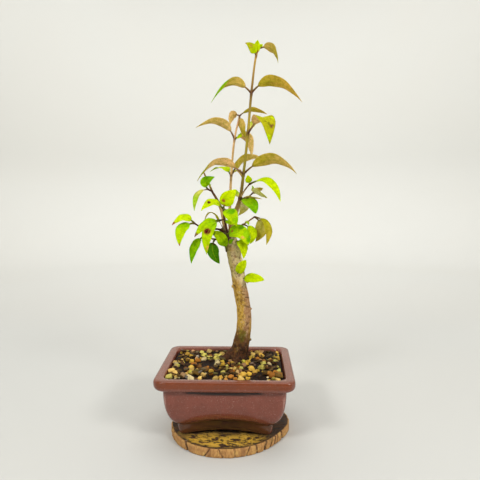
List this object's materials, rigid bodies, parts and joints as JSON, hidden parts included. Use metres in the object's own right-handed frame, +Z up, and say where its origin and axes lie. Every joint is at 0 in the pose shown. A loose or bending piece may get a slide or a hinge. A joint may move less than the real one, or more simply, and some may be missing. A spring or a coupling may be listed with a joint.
{
  "type": "privet bonsai in pot",
  "caption": "Young privet bonsai with arching leaves on slim shoots, planted in gritty soil in a glazed rectangular pot that stands on a round slice of wood.",
  "frame": {"origin": "on the underside of the wood slice, straight below the middle of the pot", "axes": "+Z up, +X to the right along the pot's long side, -Y towards the front of the pot"},
  "size_m": [0.1604, 0.1269, 0.4471],
  "materials": {
    "slice_wood": "rough sawn face with cracked bark round the edge",
    "pot_glaze": "glossy brown-mauve glaze with fine pale speckles",
    "mesh_plastic": "black plastic mesh",
    "soil_mix": "dark soil with yellow, orange and cream grit",
    "trunk_bark": "thin tan bark, darker and reddish at the foot",
    "privet_leaf": "waxy chartreuse leaf with a paler underside, on slim woody stems"
  },
  "bodies": {
    "root": {"wood_slice": "slice_wood", "pot": "pot_glaze", "drain_mesh_left": "mesh_plastic", "drain_mesh_right": "mesh_plastic", "soil": "soil_mix", "trunk": "trunk_bark", "leader_shoot": "privet_leaf", "side_shoot": "privet_leaf", "left_upper_shoot": "privet_leaf", "left_lower_shoot": "privet_leaf", "centre_shoot": "privet_leaf", "low_left_shoot": "privet_leaf", "right_shoot": "privet_leaf", "front_leaf": "privet_leaf", "right_leaf_high": "privet_leaf", "right_leaf_middle": "privet_leaf", "right_leaf_low": "privet_leaf", "left_leaf_high": "privet_leaf", "left_leaf_low": "privet_leaf", "bud_leaf": "privet_leaf"}
  },
  "joints": []
}
